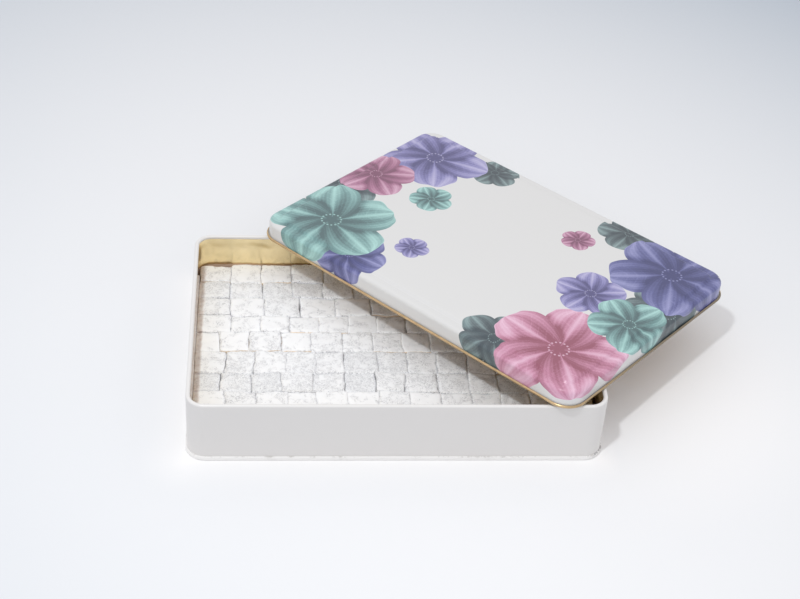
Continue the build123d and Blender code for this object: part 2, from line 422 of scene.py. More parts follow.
def blossom_group():
    """A printed blossom of five petals, each lying over the next one round.

    In a petal's own measures, u runs from the middle of the blossom to the tip and v across. Its half width
    is width times the root of 4u(1 - u), widened towards the tip. A point tests two petals: the one that
    starts at or before its angle, and the next one, which lies on top.
    """
    tree, given, result = group(
        "printed_blossom",
        [("Place", "vector"), ("Centre", "vector"), ("Turn", "value"), ("Size", "value"), ("Width", "value"),
         ("Deep", "colour"), ("Middle", "colour"), ("Pale", "colour"), ("Under", "colour")],
        [("Colour", "colour")],
    )
    sector = math.tau / PETALS
    away = vector_calc(tree, "SUBTRACT", given["Place"], given["Centre"])
    parts = split(tree, away)
    radius = calc(tree, "DIVIDE", vector_calc(tree, "LENGTH", away), given["Size"])
    # the edge wanders a little, so that no two petals are quite alike
    wander = noise(tree, given["Place"], 55, detail=1)
    radius = times(tree, radius, span(tree, wander, 0.2, 0.8, *PETAL_WANDER))
    angle = minus(tree, calc(tree, "ARCTAN2", parts[1], parts[0]), given["Turn"])
    angle = calc(tree, "MODULO", plus(tree, angle, 4 * math.tau), sector)
    strand = noise(tree, given["Place"], 900, detail=2)

    def petal(turned):
        """The petal's signed inside (above 0 within it), u, and v as a share of its half width."""
        u = times(tree, radius, calc(tree, "COSINE", turned))
        v = times(tree, radius, calc(tree, "SINE", turned))
        crown = times(tree, times(tree, u, minus(tree, 1.0, u)), 4.0)
        half = calc(tree, "POWER", larger(tree, crown, 0.0), 0.5)
        half = times(tree, half, plus(tree, times(tree, u, PETAL_WIDENS), PETAL_FOOT))
        half = times(tree, half, given["Width"])
        inside = minus(tree, half, unsigned(tree, v))
        share = calc(tree, "DIVIDE", v, plus(tree, half, 0.02))
        return inside, u, share

    def lights(inside, u, off_rib):
        """How much light paint a point has: the midrib, the slanting side veins or the petal's rim."""
        midrib = span(tree, off_rib, *MIDRIB, 1.0, 0.0)
        vein = minus(tree, times(tree, u, VEINS), times(tree, off_rib, VEIN_SLANT))
        vein = unsigned(tree, minus(tree, calc(tree, "FRACT", vein), 0.5))
        fade = span(tree, off_rib, *VEIN_FADE, 0.7, 0.0)
        vein = times(tree, span(tree, vein, 0.0, VEIN_WIDTH, 1.0, 0.0), fade)
        rim = span(tree, inside, 0.0, PETAL_RIM, 1.0, 0.0)
        outer = larger(tree, times(tree, vein, VEIN_LIGHT), times(tree, rim, RIM_LIGHT))
        return larger(tree, times(tree, midrib, MIDRIB_LIGHT), outer)

    def painted(turned, shadow):
        """A petal's inside and its colour: deep at the foot, pale at the tip, folded, stranded and veined."""
        inside, u, share = petal(turned)
        fold = times(tree, share, plus(tree, times(tree, u, 0.4), 0.8))
        waves = calc(tree, "SINE", plus(tree, times(tree, fold, FOLDS), times(tree, u, FOLD_TWIST)))
        tone = plus(tree, span(tree, u, 0.05, 1.0, 0.0, TIP_TONE), times(tree, waves, FOLD_SHADE))
        tone = plus(tree, tone, times(tree, share, SIDE_SHADE))
        fan = plus(tree, times(tree, share, STRANDS), times(tree, strand, STRAND_WANDER))
        tone = plus(tree, tone, times(tree, calc(tree, "SINE", fan), STRAND_SHADE))
        light = lights(inside, u, unsigned(tree, share))
        tone = plus(tree, tone, times(tree, light, LIGHT_RISE))
        if shadow is not None:
            tone = minus(tree, tone, shadow)
        low = mixed(tree, span(tree, tone, *DEEP_TONES), given["Deep"], given["Middle"])
        colour = mixed(tree, span(tree, tone, *PALE_TONES), low, given["Pale"])
        return inside, colour

    top_inside, top_colour = painted(minus(tree, angle, sector), None)
    shade = span(tree, top_inside, -OVERLAP_REACH, 0.0, 0.0, OVERLAP_SHADE, smooth=True)
    low_inside, low_colour = painted(angle, shade)
    colour = mixed(tree, span(tree, low_inside, 0.0, PETAL_EDGE), given["Under"], low_colour)
    colour = mixed(tree, span(tree, top_inside, 0.0, PETAL_EDGE), colour, top_colour)
    # the heart: a deep eye and a ring of pale dots
    colour = mixed(tree, span(tree, radius, *EYE, 1.0, 0.0), colour, given["Deep"])
    dot_turn = calc(tree, "MODULO", times(tree, angle, DOTS_A_PETAL), sector)
    dot_turn = calc(tree, "DIVIDE", minus(tree, dot_turn, sector / 2), DOTS_A_PETAL)
    along = calc(tree, "POWER", unsigned(tree, times(tree, dot_turn, radius)), 2.0)
    outward = calc(tree, "POWER", unsigned(tree, minus(tree, radius, DOTS_RADIUS)), 2.0)
    dot = span(tree, plus(tree, along, outward), *DOT_AREA, DOT_SHARE, 0.0)
    join(tree, mixed(tree, dot, colour, given["Pale"]), result["Colour"])
    return tree


# the powder: how far it thins out on a bare cube and at an edge, and how it falls off down a side; and the
# painted shadow of the left rim on it
THIN_SUGAR = (0.36, 0.365, 0.39, 1)
# painted shadow: the brown of the sugar in the shadow of the tin's left rim
RIM_SHADOW_SUGAR = (0.56, 0.42, 0.37, 1)
STROKE_WIDTH = 0.04
BARE_THINNING = 0.24
EDGE_THINNING = 0.11
THIN_SHARE = 0.54
THIN_EDGE_SHARE = 0.15
RIM_SHADOW_SHARE = (0.25, 0.65)
SIDE_BEGINS = 1.7 * MM
SIDE_FULL = 4.0 * MM
SIDE_SHARE = 0.75
SIDE_RAGGED = 2.6 * MM


def dusting_group():
    """Icing sugar on a gel cube: thick powder with fine dark strokes, where it is thin and the gel greys it.

    The strokes are contours of one noise and dots of another, kept in patches that gather along the top's
    edges. Down the sides the powder thins out and the gel's own colour comes through, and near the tin's left
    wall the sugar is painted brown in patches: the painted shadow of the wall's rim.
    """
    tree, given, result = group(
        "sugar_dusting",
        [("Place", "vector"), ("Bare", "value"), ("Depth", "value"), ("Edge", "value"), ("Rubbed", "value"),
         ("Gel", "colour"), ("Sugar", "colour")],
        [("Colour", "colour"), ("Height", "value"), ("Thin", "value")],
    )
    place = given["Place"]
    winding = noise(tree, place, 300, detail=3, roughness=0.6, distortion=1.2)
    winding = unsigned(tree, minus(tree, winding, 0.5))
    strokes = span(tree, winding, 0.0, STROKE_WIDTH, 1.0, 0.0)
    dots = noise(tree, place, 620, detail=2, roughness=0.6, distortion=2.0)
    dots = span(tree, dots, 0.55, 0.63)
    patches = noise(tree, place, 150, detail=3, roughness=0.65, distortion=0.6)
    patches = plus(tree, patches, times(tree, given["Bare"], BARE_THINNING))
    patches = plus(tree, patches, times(tree, given["Edge"], EDGE_THINNING))
    patches = span(tree, patches, 0.54, 0.64)
    thin = times(tree, larger(tree, strokes, dots), patches)
    thin = times(tree, thin, plus(tree, THIN_SHARE, times(tree, given["Edge"], THIN_EDGE_SHARE)))
    colour = mixed(tree, thin, given["Sugar"], THIN_SUGAR)
    # the painted shadow of the left rim, in patches
    rim_shadow_patches = noise(tree, place, 240, detail=3, roughness=0.6)
    rim_shadow_patches = span(tree, rim_shadow_patches, 0.3, 0.7, *RIM_SHADOW_SHARE)
    colour = mixed(tree, times(tree, given["Rubbed"], rim_shadow_patches), colour, RIM_SHADOW_SUGAR)
    ragged = noise(tree, place, 260, detail=3, roughness=0.6)
    ragged = times(tree, minus(tree, ragged, 0.5), SIDE_RAGGED)
    side = plus(tree, given["Depth"], ragged)
    side = span(tree, side, SIDE_BEGINS, SIDE_FULL, 0.0, SIDE_SHARE, smooth=True)
    join(tree, mixed(tree, side, colour, given["Gel"]), result["Colour"])
    grains = noise(tree, place, 2600, detail=2, roughness=0.6)
    join(tree, minus(tree, times(tree, grains, 0.25), times(tree, thin, 0.8)), result["Height"])
    join(tree, larger(tree, thin, side), result["Thin"])
    return tree


LACQUER = lacquer_group()
BLOSSOM = blossom_group()
DUSTING = dusting_group()


# ---------------------------------------- materials
WALL_WHITE = (0.677, 0.666, 0.66, 1)
CURL_PAINTED_HIGHLIGHT = (0.755, 0.75, 0.745, 1)
RUBBED_GREY = (0.5, 0.5, 0.5, 1)
BEAD_WHITE = (0.82, 0.815, 0.81, 1)
GRIME_AND_CREASE_SHADE = (0.45, 0.43, 0.41, 1)
BARE_METAL = (0.16, 0.16, 0.17, 1)
REFLECTION_LINE_BROWN = (0.5, 0.35, 0.14, 1)
STAIN_AND_SHADE_BROWN = (0.42, 0.24, 0.08, 1)
SUGAR_ON_GOLD = (0.66, 0.5, 0.4, 1)
TIN_GOLD_SHADES = ((0.88, 0.73, 0.43, 1), (0.96, 0.8, 0.49, 1))
LID_GOLD_SHADES = ((0.42, 0.24, 0.06, 1), (0.48, 0.29, 0.09, 1))
HEM_GOLD = (0.68, 0.5, 0.29, 1)
HEM_WORN = (0.54, 0.39, 0.22, 1)
HEM_PAINTED_SHADE = (0.27, 0.225, 0.165, 1)
LID_WHITE = (0.682, 0.686, 0.688, 1)
# painted light: the sugar's colour at the front and, whiter, at the back, against the lamp's falloff
FRONT_SUGAR = (0.91, 0.914, 0.925, 1)
BACK_SUGAR_PAINTED_LIGHT = (0.968, 0.98, 0.998, 1)
THIN_SUGAR_BLUE = (0.6, 0.64, 0.69, 1)
BLUE_SHARE = 0.22
PAINTED_LIGHT_REACH = (-90 * MM, 60 * MM)


def white_lacquer():
    """The tin's outside: gloss white lacquer, dulled by fine rubs, with a painted highlight: whiter over the
    curl's top.
    """
    material, tree, shader = new_material("white_lacquer", IOR=1.5)
    place = object_place(tree)
    surface = place_group(tree, LACQUER, Place=place, Gloss=0.28, Rub=0.6)
    height = split(tree, place)[2]
    # painted highlight: the top of the curl is painted whiter than the wall
    curl = span(tree, height, *CURL_HIGHLIGHT_BAND)
    white = mixed(tree, curl, WALL_WHITE, CURL_PAINTED_HIGHLIGHT)
    colour = mixed(tree, times(tree, surface["Rubs"], 0.35), white, RUBBED_GREY)
    join(tree, colour, shader.inputs["Base Color"])
    join(tree, surface["Roughness"], shader.inputs["Roughness"])
    relief(tree, shader, surface["Height"], strength=0.12, distance=0.0004)
    return material


def bead_lacquer():
    """The white bead round the foot, greyed along its crown: partly grime, partly painted shade in the crease
    against the wall.
    """
    material, tree, shader = new_material("bead_lacquer", IOR=1.5)
    place = object_place(tree)
    surface = place_group(tree, LACQUER, Place=place, Gloss=0.32, Rub=1.0)
    # grey patches, darkest at the bead's top edge: partly grime, partly painted shade in the crease against
    # the wall
    grime_and_crease_shade = span(tree, noise(tree, place, 130, detail=4, roughness=0.7), 0.52, 0.7)
    crown = span(tree, split(tree, place)[2], BEAD_HEIGHT - 0.9 * MM, BEAD_HEIGHT, 0.15, 0.8)
    share = times(tree, grime_and_crease_shade, crown)
    colour = mixed(tree, share, BEAD_WHITE, GRIME_AND_CREASE_SHADE)
    # the right front corner has been knocked: its lacquer is worn to dark metal in flecks
    away = vector_calc(tree, "DISTANCE", place, KNOCKED_PLACE)
    knocked = span(tree, away, *KNOCK_REACH, 0.2, 0.0)
    flecks = plus(tree, noise(tree, place, 420, detail=3, roughness=0.7), knocked)
    flecks = span(tree, flecks, 0.62, 0.7, 0.0, 0.8)
    flecks = times(tree, flecks, span(tree, away, *KNOCK_END, 1.0, 0.0))
    colour = mixed(tree, times(tree, flecks, crown), colour, BARE_METAL)
    join(tree, colour, shader.inputs["Base Color"])
    join(tree, surface["Roughness"], shader.inputs["Roughness"])
    relief(tree, shader, surface["Height"], strength=0.15, distance=0.0004)
    return material


def gold_lacquer(name, low, high, metallic):
    """Gold food lacquer on bright tinplate: a soft mirror with the sheet's shallow dents."""
    material, tree, shader = new_material(name)
    place = object_place(tree)
    rolled = vector_calc(tree, "MULTIPLY", place, ROLLING_SCALE)
    lines = noise(tree, rolled, 1.0, detail=3, roughness=0.6)
    dents = noise(tree, place, 34, detail=1, roughness=0.5)
    cloud = noise(tree, place, 60, detail=3, roughness=0.6)
    colour = mixed(tree, span(tree, cloud, 0.3, 0.7), low, high)
    # up to a ragged line, a little above the sweets, the lacquer is painted brown: partly a sugar and syrup
    # stain, partly painted shade where the wall meets the sweets
    height = split(tree, place)[2]
    line = plus(tree, height, times(tree, cloud, 2.5 * MM))
    stain_and_shade = span(tree, line, *STAIN_AND_SHADE_LINE, 0.75, 0.0)
    colour = mixed(tree, stain_and_shade, colour, STAIN_AND_SHADE_BROWN)
    # a faint wavy darker line, a painted reflection, comes and goes round it, below the curl
    flat = vector_calc(tree, "MULTIPLY", place, (1.0, 1.0, 0.0))
    wave = noise(tree, flat, 42, detail=2)
    wave = span(tree, wave, 0.3, 0.7, REFLECTION_LINE_HEIGHT - REFLECTION_LINE_WAVE, REFLECTION_LINE_HEIGHT + REFLECTION_LINE_WAVE)
    reflection_line = unsigned(tree, minus(tree, height, wave))
    reflection_line = span(tree, reflection_line, *REFLECTION_LINE_EDGES, 0.7, 0.0, smooth=True)
    reflection_line = times(tree, reflection_line, span(tree, noise(tree, flat, 30, detail=2), 0.42, 0.58))
    colour = mixed(tree, reflection_line, colour, REFLECTION_LINE_BROWN)
    # lower down it is coated with sugar
    dust = span(tree, line, *DUST_LINE, 1.0, 0.0)
    join(tree, mixed(tree, dust, colour, SUGAR_ON_GOLD), shader.inputs["Base Color"])
    join(tree, times(tree, minus(tree, 1.0, dust), metallic), shader.inputs["Metallic"])
    join(tree, span(tree, lines, 0.3, 0.7, 0.17, 0.23), shader.inputs["Roughness"])
    relief(tree, shader, plus(tree, times(tree, lines, 0.01), dents), strength=0.75, distance=0.003)
    return material


# where the hem gets its painted shade, a dark olive brown: from its way out along the lid, and from its way
# back along the short ends
HEM_SHADE_ENDS = (LID_HALF_LENGTH + 6 * MM, LID_HALF_LENGTH + 12 * MM)
HEM_SHADE_SIDES = (-LID_HALF_WIDTH, -LID_HALF_WIDTH + 90 * MM)


def hem_lacquer():
    """The hem's gold lacquer: a deeper gold than the inside, worn and darker in patches along the curl."""
    material, tree, shader = new_material("hem_lacquer", Metallic=0.95, Roughness=0.3)
    place = object_place(tree)
    wear = span(tree, noise(tree, place, 220, detail=3, roughness=0.65), 0.35, 0.7)
    colour = mixed(tree, wear, HEM_GOLD, HEM_WORN)
    # round the short ends, and more towards the back of the lid, the hem is painted a dark olive brown:
    # painted shade
    parts = split(tree, mesh_value(tree, "print_place")["Vector"])
    end = span(tree, unsigned(tree, parts[0]), *HEM_SHADE_ENDS)
    turned = span(tree, parts[1], *HEM_SHADE_SIDES, 0.2, 1.0)
    end = times(tree, end, turned)
    join(tree, mixed(tree, end, colour, HEM_PAINTED_SHADE), shader.inputs["Base Color"])
    relief(tree, shader, noise(tree, place, 900, detail=2), strength=0.1, distance=0.0003)
    return material


# the print: blossoms as (x, y, petal length, width, turn in degrees, palette), in millimetres on the lid
PALETTES = {
    "teal": ((0.09, 0.15, 0.16), (0.21, 0.37, 0.37), (0.42, 0.68, 0.65)),
    "slate": ((0.065, 0.085, 0.1), (0.125, 0.165, 0.18), (0.28, 0.38, 0.39)),
    "indigo": ((0.065, 0.07, 0.18), (0.135, 0.145, 0.33), (0.32, 0.33, 0.58)),
    "lavender": ((0.1, 0.095, 0.22), (0.25, 0.24, 0.48), (0.5, 0.48, 0.7)),
    "mauve": ((0.21, 0.09, 0.15), (0.4, 0.18, 0.29), (0.66, 0.42, 0.55)),
    "rose": ((0.3, 0.1, 0.15), (0.56, 0.26, 0.38), (0.78, 0.52, 0.66)),
}
BLOSSOMS = (
    (68, -86, 27, 0.5, 20, "slate"),
    (60, 88, 24, 0.5, 60, "slate"),
    (-66, -84, 28, 0.5, 10, "indigo"),
    (-62, 80, 20, 0.5, 50, "slate"),
    (136, 26, 34, 0.5, 5, "slate"),
    (-134, -14, 36, 0.5, 40, "slate"),
    (106, -64, 48, 0.47, 33, "rose"),
    (112, 66, 46, 0.47, 12, "indigo"),
    (84, 4, 26, 0.48, 50, "lavender"),
    (124, -6, 30, 0.48, 8, "teal"),
    (-104, -62, 48, 0.47, 58, "teal"),
    (-108, 62, 42, 0.47, 20, "lavender"),
    (-124, 10, 30, 0.48, 44, "mauve"),
    (-72, 14, 17, 0.5, 5, "teal"),
    (38, 52, 13, 0.5, 30, "mauve"),
    (-40, -46, 13, 0.5, 15, "lavender"),
)
REGION_LINES_X = (-96, -52, 48, 100)
REGION_LINES_Y = (-10, 24)
PETAL_REACH = 1.07
REGION_MARGIN = 6 * MM


def printed_lacquer(number, blossoms):
    """One region of the lid's outside: a floral print on warm white, under clear silk-gloss lacquer."""
    material, tree, shader = new_material(f"printed_lacquer_{number}", IOR=1.5)
    print_place = mesh_value(tree, "print_place")["Vector"]
    colour = LID_WHITE
    for x, y, size, width, turn, palette in blossoms:
        deep, middle, pale = ((*shade, 1) for shade in PALETTES[palette])
        blossom = place_group(
            tree, BLOSSOM, Place=print_place, Centre=(x * MM, y * MM, 0), Turn=math.radians(turn),
            Size=size * MM, Width=width, Deep=deep, Middle=middle, Pale=pale, Under=colour,
        )
        colour = blossom["Colour"]
    surface = place_group(tree, LACQUER, Place=object_place(tree), Gloss=0.3, Rub=0.25)
    join(tree, colour, shader.inputs["Base Color"])
    join(tree, surface["Roughness"], shader.inputs["Roughness"])
    relief(tree, shader, surface["Height"], strength=0.1, distance=0.0004)
    return material


def dusted_gel():
    """Turkish delight: a translucent gel under icing sugar, with each cube's own gel colour and thickness."""
    material, tree, shader = new_material("dusted_gel", IOR=1.4)
    place = object_place(tree)
    bareness = mesh_value(tree, "bareness")["Fac"]
    # the sugar is painted a little whiter towards the back, painted light against the lamp's falloff, and
    # blue-grey where it is thin
    painted_light = span(tree, split(tree, place)[1], *PAINTED_LIGHT_REACH)
    sugar = mixed(tree, painted_light, FRONT_SUGAR, BACK_SUGAR_PAINTED_LIGHT)
    blue = times(tree, calc(tree, "POWER", bareness, 2.0), BLUE_SHARE)
    # the dusting also carries the painted shadow of the left rim
    dust = place_group(
        tree, DUSTING, Place=place, Bare=bareness, Depth=mesh_value(tree, "depth")["Fac"],
        Edge=mesh_value(tree, "edge")["Fac"], Rubbed=mesh_value(tree, "rim_shadow")["Fac"],
        Gel=mesh_value(tree, "gel_colour")["Color"], Sugar=mixed(tree, blue, sugar, THIN_SUGAR_BLUE),
    )
    join(tree, dust["Colour"], shader.inputs["Base Color"])
    join(tree, span(tree, dust["Thin"], 0.0, 0.7, 0.95, 0.6), shader.inputs["Roughness"])
    relief(tree, shader, dust["Height"], strength=0.4, distance=0.0006)
    return material


WHITE = white_lacquer()
BEAD = bead_lacquer()
GOLD = gold_lacquer("gold_lacquer", *TIN_GOLD_SHADES, metallic=0.85)
LID_GOLD = gold_lacquer("lid_gold_lacquer", *LID_GOLD_SHADES, metallic=0.7)
HEM = hem_lacquer()
SUGARED = dusted_gel()


# ---------------------------------------- the tin's wall and curled rim
def tin_wall():
    """The wall: a band whose top edge curls inwards.

    Its section is the wall's outer face, the curl's outer arc, the curl's inner arc and the wall's inner
    face, and it is carried round a rounded rectangle.
    """
    path, normals = rounded_path(*TIN_OUTLINE, corner_steps=24, side_steps=24)
    centre = (-RIM_RADIUS, TIN_HEIGHT - RIM_RADIUS)
    up = np.linspace(WALL_FOOT, centre[1], 12)[:-1]
    outside = np.concatenate([
        np.stack([np.zeros_like(up), up], axis=1),
        arc(centre, RIM_RADIUS, 0, RIM_TURN, CURL_STEPS),
    ])
    inside = np.concatenate([
        arc(centre, RIM_RADIUS - SHEET, RIM_TURN, -RIM_TURN, CURL_STEPS),
        np.stack([np.full_like(up, -SHEET), up[::-1]], axis=1),
    ])
    edge = np.array([outside[-1], inside[0]])
    foot = np.array([inside[-1], outside[0]])
    return piece(
        "tin_wall",
        [(carried(outside, path, normals), True, 0), (carried(edge, path, normals), True, 0),
         (carried(inside, path, normals), True, 1), (carried(foot, path, normals), True, 1)],
        [WHITE, GOLD], "tin", ["tin_body"],
    )


tin_wall()


# ---------------------------------------- the lid
def lid_section():
    """The middle line of the lid's sheet, as (outward, up): curled hem, skirt, shoulder, ledge and step."""
    skirt = -SHEET / 2
    curl_radius = HEM_RADIUS - SHEET / 2
    top = LEDGE_HEIGHT - SHEET / 2
    bend = SHOULDER_RADIUS - SHEET / 2
    hem = arc((skirt + curl_radius, HEM_RADIUS), curl_radius, math.pi + HEM_TURN, -HEM_TURN, HEM_STEPS)
    up = np.linspace(HEM_RADIUS, top - bend, 8)[1:-1]
    wall = np.stack([np.full_like(up, skirt), up], axis=1)
    shoulder = arc((skirt - bend, top - bend), bend, 0, math.pi / 2, steps=14)
    share = np.linspace(0, 1, 17)
    rise = STEP_RISE * (1 - np.cos(math.pi * share)) / 2
    step = np.stack([-LEDGE_INSET - STEP_RUN * share, top + rise], axis=1)
    ledge = np.linspace(shoulder[-1], step[0], 5)[1:-1]
    return np.concatenate([hem, wall, shoulder, ledge, step])


def lid_pose():
    """The lid's frame in the tin's: turned about Z where it lies level, then leaned about its rests."""
    level = Matrix.Translation(LID_CENTRE) @ Matrix.Rotation(LID_TURN, 4, "Z")
    lean = Matrix.Rotation(-LID_LEAN, 4, RIGHT_REST - BACK_REST)
    return Matrix.Translation(BACK_REST) @ lean @ Matrix.Translation(-BACK_REST) @ level


def print_regions(laid):
    """Numbers the quads of the printed face by the region of the print that each one's middle lies in.

    Returns those numbers and each region's blossoms, which are the ones that reach one of its quads.
    """
    quads = grid_quads(laid.shape[0], laid.shape[1], True)
    corners = laid.reshape(-1, 2)[quads]
    middle = corners.mean(axis=1)
    column = np.searchsorted(np.array(REGION_LINES_X) * MM, middle[:, 0])
    row = np.searchsorted(np.array(REGION_LINES_Y) * MM, middle[:, 1])
    region = column * (len(REGION_LINES_Y) + 1) + row
    reaching = []
    for number in range(region.max() + 1):
        places = corners[region == number].reshape(-1, 2)
        nearest = [np.linalg.norm(places - np.array(blossom[:2]) * MM, axis=1).min() for blossom in BLOSSOMS]
        reaching.append([
            blossom for blossom, distance in zip(BLOSSOMS, nearest)
            if distance < blossom[2] * PETAL_REACH * MM + REGION_MARGIN
        ])
    return region, reaching


def lid():
    """The lid: its section carried round, and a panel that closes both faces of the sheet.

    The panel rises by its crown times (1 - x^2)(1 - y^2), with x and y as shares of its half sizes.
    """
    path, normals = rounded_path(*LID_OUTLINE, corner_steps=28, side_steps=36)
    middle = lid_section()
    inset_length = LID_HALF_LENGTH - LEDGE_INSET - STEP_RUN
    inset_width = LID_HALF_WIDTH - LEDGE_INSET - STEP_RUN
    pose = np.array(lid_pose())
    turn, shift = pose[:3, :3], pose[:3, 3]
    grids, places, prints = [], [], []
    for side in (-1, 1):
        section = beside(middle, side * SHEET / 2)
        wall = carried(section, path, normals)
        flat = to_spine(wall[-1], inset_length, inset_width, steps=20)
        fall = 1 - np.minimum(1, (np.abs(flat[..., 1]) / inset_width) ** 2)
        ends = 1 - np.minimum(1, (np.abs(flat[..., 0]) / inset_length) ** 2)
        flat[..., 2] += PANEL_CROWN * fall * ends
        grid = np.concatenate([wall, flat])
        # the print lies on the flat sheet before it is drawn: each point's way along the section, laid flat
        steps = np.linalg.norm(np.diff(section, axis=0), axis=1)
        way = np.concatenate([np.cumsum(steps[::-1])[::-1], [0]])
        edge = path - (LEDGE_INSET + STEP_RUN) * normals
        laid = np.concatenate([edge[None] + way[:, None, None] * normals[None], flat[..., :2]])
        if side == -1:
            region, reaching = print_regions(laid)
            prints = [printed_lacquer(number + 1, near) for number, near in enumerate(reaching)]
            number = region
        else:
            rows = np.repeat(np.arange(len(grid) - 1), len(path))
            number = len(prints) + (rows < HEM_STEPS)
        grids.append((grid @ turn.T + shift, True, number))
        places.append(np.concatenate([laid, np.zeros(laid.shape[:2] + (1,))], axis=2).reshape(-1, 3))
    free_edge = np.stack([grids[0][0][0], grids[1][0][0]])
    grids.append((free_edge, True, len(prints) + 1))
    places.append(np.repeat(places[0][: free_edge.shape[1]][None], 2, axis=0).reshape(-1, 3))
    return piece(
        "lid_shell", grids, prints + [LID_GOLD, HEM], "lid", ["lid"], smooth_angle=60,
        attributes={"print_place": ("FLOAT_VECTOR", np.concatenate(places))},
    )


lid()


# ---------------------------------------- the bottom
def bottom():
    """The bottom: a panel with a stiffening bead, and the seam bead that holds the wall's foot."""
    path, normals = rounded_path(*TIN_OUTLINE, corner_steps=20, side_steps=12)
    top = PANEL_BASE + SHEET
    inner = -SHEET - BEAD_STANDS_OUT
    crown = (BEAD_STANDS_OUT - BEAD_EDGE, BEAD_HEIGHT - BEAD_EDGE)
    outer_foot = (BEAD_STANDS_OUT - BEAD_FOOT_RADIUS, BEAD_FOOT_RADIUS)
    inner_foot = (inner + BEAD_FOOT_RADIUS, BEAD_FOOT_RADIUS)
    section = np.concatenate([
        np.array([(-SHEET, top), (-SHEET, WALL_FOOT), (0, WALL_FOOT), (0, BEAD_HEIGHT)]),
        arc(crown, BEAD_EDGE, math.pi / 2, -math.pi / 2, steps=6),
        arc(outer_foot, BEAD_FOOT_RADIUS, 0, -math.pi / 2, steps=8),
        arc(inner_foot, BEAD_FOOT_RADIUS, -math.pi / 2, -math.pi / 2, steps=8),
        np.array([(inner, PANEL_BASE)]),
    ])
    rings = carried(section, path, normals)

    def panel(base, edge):
        """Rings from the bead to the middle, with the stiffening bead pressed down as a trough.

        The trough deepens by the sine of a quarter turn from its edges to its middle line.
        """
        share = np.linspace(0, 1, 60)[1:, None, None]
        reach = TIN_HALF_LENGTH - TIN_HALF_WIDTH
        spine = np.stack([np.clip(edge[:, 0], -reach, reach), np.zeros(len(edge)), edge[:, 2]], axis=1)
        flat = edge + share * (spine - edge)
        inset = share[..., 0] * TIN_HALF_WIDTH
        off_middle = np.abs(inset - STIFFENER_INSET - STIFFENER_WIDTH / 2)
        trough = np.clip(1 - off_middle / (STIFFENER_WIDTH / 2), 0, 1)
        flat[..., 2] = base - STIFFENER_DEPTH * np.sin(trough * math.pi / 2)
        return flat

    above = panel(top, rings[0])[::-1]
    below = panel(PANEL_BASE, rings[-1])
    return piece(
        "tin_bottom_panel",
        [(np.concatenate([above, rings[:1]]), True, 1), (np.concatenate([rings, below]), True, 0)],
        [BEAD, GOLD], "tin", ["tin_bottom"], smooth_angle=40,
    )


bottom()


# ---------------------------------------- the lock seam at the back
SEAM_HALF_WIDTH = 2.5 * MM
SEAM_HALF_HEIGHT = 20 * MM


def lock_seam():
    """The wall's lock seam: a flat fold that stands proud of the wall.

    Its height is the sheet's thickness times (1 - u^8)(1 - v^24), with u across it and v up it, from -1 to 1.
    """
    across = np.linspace(-1, 1, 17)
    along = np.linspace(-1, 1, 33)
    u, v = np.meshgrid(across, along, indexing="ij")
    proud = SHEET * (1 - np.abs(u) ** 8) * (1 - np.abs(v) ** 24)
    z = BEAD_HEIGHT + SEAM_HALF_HEIGHT + v * SEAM_HALF_HEIGHT
    front = np.stack([u * SEAM_HALF_WIDTH, np.full_like(u, TIN_HALF_WIDTH), z], axis=2)
    back = front.copy()
    front[..., 1] += proud
    back[..., 1] -= SHEET / 4
    sides = [front, back[::-1]]
    rims = [
        np.stack([front[0], back[0]]), np.stack([back[-1], front[-1]]),
        np.stack([back[:, 0], front[:, 0]]), np.stack([front[:, -1], back[:, -1]]),
    ]
    return piece(
        "wall_lock_seam", [(grid, False, 0) for grid in sides + rims],
        [WHITE], "tin",
    )


lock_seam()


# ---------------------------------------- the sweets
SUGAR_SEED = 11
EDGE_RADIUS = (0.9 * MM, 2.3 * MM)
SIDE_GROWTH = (0.9 * MM, 1.4 * MM)
TOP_GROWTH = 0.5 * MM
REACH = 0.39 * MM
END_REACH = 0.24 * MM
LUMP_HEIGHT = 0.42 * MM
GRAIN_HEIGHT = 0.16 * MM
WANDER = 0.75 * MM
# the wander's waves: their cells, shares and seeds
WANDER_WAVES = ((13 * MM, 1.2, 52), (4.5 * MM, 0.8, 48), (2.3 * MM, 0.2, 42))
RADIUS_CELL = 7 * MM
LUMP_CELLS = (6.5 * MM, 2.8 * MM)
GRAIN_CELL = 0.9 * MM
CORNER_SHIFT = np.array([0.8, 0.8, 1.0]) * MM
CORNER_SPREAD = (-1, 0.4)
PILLOW_FALL = 0.5 * MM
EDGE_BAND = 1.5 * MM
FACE_STEPS = 22
INSIDE_GAP = 0.25 * MM
NARROWEST_JOINT = 0.1 * MM
LEFT_LIMIT = -TIN_HALF_LENGTH + 2 * RIM_RADIUS + 0.1 * MM
# the painted shadow of the left rim on the sugar: full out to the first distance from the wall, gone by the
# second
RIM_SHADOW_BAND = (6.9 * MM, 7.4 * MM)
GREY_GEL = np.array([0.6, 0.59, 0.58])
AMBER_GEL = np.array([0.74, 0.54, 0.32])
PINK_GEL = np.array([0.64, 0.46, 0.4])
PINK_SHARE = 0.25
GEL_SPREAD = (0.85, 1.15)
BARENESS_SPREAD = 0.25
# by row from the back: how bare of powder the cubes are, and which ones from the left are amber
ROW_BARENESS = (0.35, 0.54, 0.34, 0.12, 0.15, 0.6, 0.72, 0.3, 0.3)
AMBER_CUBES = ((0, 2), (), (5,), (3, 4, 9), (1, 2, 3, 6, 7), (10,), (), (), (4,))
AMBER_SHOWS = 0.7 * MM
AMBER_FRONT = 1.9 * MM


# large odd numbers that scramble whole coordinates
HASH_PRIMES = (73856093, 19349663, 83492791)
SEED_PRIME = 2654435761
MIX_PRIME = 1274126177


